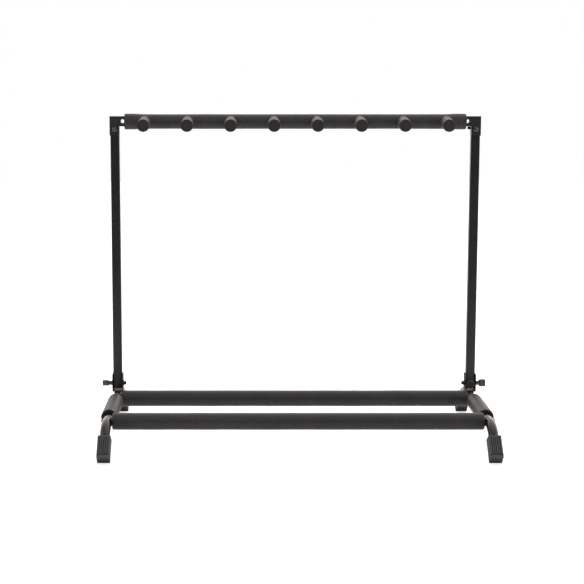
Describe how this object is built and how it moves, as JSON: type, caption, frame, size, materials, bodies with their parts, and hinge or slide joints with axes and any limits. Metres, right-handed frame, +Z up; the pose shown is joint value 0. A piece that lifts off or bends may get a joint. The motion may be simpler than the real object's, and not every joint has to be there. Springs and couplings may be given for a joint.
{
  "type": "guitar rack",
  "caption": "Folding multi-guitar floor rack: foam-covered base tubes on arched feet with rubber boots, and an upright frame with a foam-covered rail and neck pegs.",
  "frame": {"origin": "middle of the footprint, on the floor that the boots stand on", "axes": "+X to the side, along the rail and towards the upright with the lock knob; +Y to the back, away from the player; +Z up"},
  "size_m": [0.9126, 0.428, 0.7376],
  "materials": {
    "black_paint": "satin",
    "bracket_paint": "satin",
    "black_foam": "matte",
    "boot_rubber": "matte",
    "black_zinc": "gloss",
    "bright_steel": "satin",
    "grey_plastic": "matte",
    "black_plastic": "satin"
  },
  "bodies": {
    "base": {"left_arch_tube": "black_paint", "right_arch_tube": "black_paint", "left_arch_sleeve": "black_foam", "right_arch_sleeve": "black_foam", "front_left_boot": "boot_rubber", "front_right_boot": "boot_rubber", "rear_left_boot": "boot_rubber", "rear_right_boot": "boot_rubber", "front_cross_tube": "black_paint", "rear_cross_tube": "black_paint", "front_cross_foam": "black_foam", "rear_cross_foam": "black_foam", "cross_tube_screws": "black_zinc", "cross_tube_inserts": "black_plastic", "left_base_bracket": "black_paint", "right_base_bracket": "black_paint", "left_pivot_bolt": "black_zinc", "right_pivot_bolt": "black_zinc", "pivot_head_washers": "black_zinc"},
    "upper_frame": {"corner_bolts": "black_zinc", "left_corner_bracket": "bracket_paint", "left_pivot_bushing": "bright_steel", "left_upright": "black_paint", "peg_foam_1": "black_foam", "peg_foam_2": "black_foam", "peg_foam_3": "black_foam", "peg_foam_4": "black_foam", "peg_foam_5": "black_foam", "peg_foam_6": "black_foam", "peg_foam_7": "black_foam", "peg_foam_8": "black_foam", "peg_rod_1": "bright_steel", "peg_rod_2": "bright_steel", "peg_rod_3": "bright_steel", "peg_rod_4": "bright_steel", "peg_rod_5": "bright_steel", "peg_rod_6": "bright_steel", "peg_rod_7": "bright_steel", "peg_rod_8": "bright_steel", "rail_bolts": "bright_steel", "rail_foam": "black_foam", "rail_nuts": "bright_steel", "rail_tube": "black_paint", "right_corner_bracket": "bracket_paint", "right_pivot_bushing": "bright_steel", "right_upright": "black_paint", "upright_plugs": "black_plastic"},
    "left_knob_washer": {"left_knob_washer": "black_zinc"},
    "right_knob_washer": {"right_knob_washer": "black_zinc"},
    "left_thumb_knob": {"left_thumb_knob": "grey_plastic"},
    "right_thumb_knob": {"right_thumb_knob": "grey_plastic"},
    "lock_washer": {"lock_washer": "black_zinc"},
    "lock_knob": {"lock_knob": "black_plastic"},
    "left_wing_washer": {"left_wing_washer": "black_zinc"},
    "right_wing_washer": {"right_wing_washer": "black_zinc"},
    "left_wing_nut": {"left_wing_nut": "black_plastic"},
    "right_wing_nut": {"right_wing_nut": "black_plastic"}
  },
  "joints": [
    {"name": "frame_fold", "type": "hinge", "parent": "base", "child": "upper_frame", "pos_m": [0, 0.097, 0.098], "axis": [1, 0, 0], "range_deg": [0, 90]},
    {"name": "left_knob_washer_slide", "type": "slide", "parent": "base", "child": "left_knob_washer", "axis": [-1, 0, 0], "range_m": [0, 0.0025]},
    {"name": "left_thumb_knob_spin", "type": "hinge", "parent": "left_knob_washer", "child": "left_thumb_knob", "pos_m": [-0.445, 0.097, 0.098], "axis": [-1, 0, 0], "range_deg": [0, 720]},
    {"name": "right_knob_washer_slide", "type": "slide", "parent": "base", "child": "right_knob_washer", "axis": [1, 0, 0], "range_m": [0, 0.0025]},
    {"name": "right_thumb_knob_spin", "type": "hinge", "parent": "right_knob_washer", "child": "right_thumb_knob", "pos_m": [0.445, 0.097, 0.098], "axis": [1, 0, 0], "range_deg": [0, 720]},
    {"name": "lock_washer_slide", "type": "slide", "parent": "upper_frame", "child": "lock_washer", "axis": [0, -1, 0], "range_m": [0, 0.0008]},
    {"name": "lock_knob_spin", "type": "hinge", "parent": "lock_washer", "child": "lock_knob", "pos_m": [0.42, 0.087, 0.0965], "axis": [0, -1, 0], "range_deg": [0, 360]},
    {"name": "left_wing_washer_slide", "type": "slide", "parent": "upper_frame", "child": "left_wing_washer", "axis": [0, 1, 0], "range_m": [0, 0.002]},
    {"name": "left_wing_nut_spin", "type": "hinge", "parent": "left_wing_washer", "child": "left_wing_nut", "pos_m": [-0.42, 0.11, 0.7025], "axis": [0, 1, 0], "range_deg": [0, 720]},
    {"name": "right_wing_washer_slide", "type": "slide", "parent": "upper_frame", "child": "right_wing_washer", "axis": [0, 1, 0], "range_m": [0, 0.002]},
    {"name": "right_wing_nut_spin", "type": "hinge", "parent": "right_wing_washer", "child": "right_wing_nut", "pos_m": [0.42, 0.11, 0.7025], "axis": [0, 1, 0], "range_deg": [0, 720]}
  ],
  "couplings": [
    {"joint": "left_thumb_knob_spin", "follows": "left_knob_washer_slide", "rad_per_m": 5026.5},
    {"joint": "right_thumb_knob_spin", "follows": "right_knob_washer_slide", "rad_per_m": 5026.5},
    {"joint": "lock_knob_spin", "follows": "lock_washer_slide", "rad_per_m": 7854},
    {"joint": "left_wing_nut_spin", "follows": "left_wing_washer_slide", "rad_per_m": 6283.2},
    {"joint": "right_wing_nut_spin", "follows": "right_wing_washer_slide", "rad_per_m": 6283.2}
  ]
}
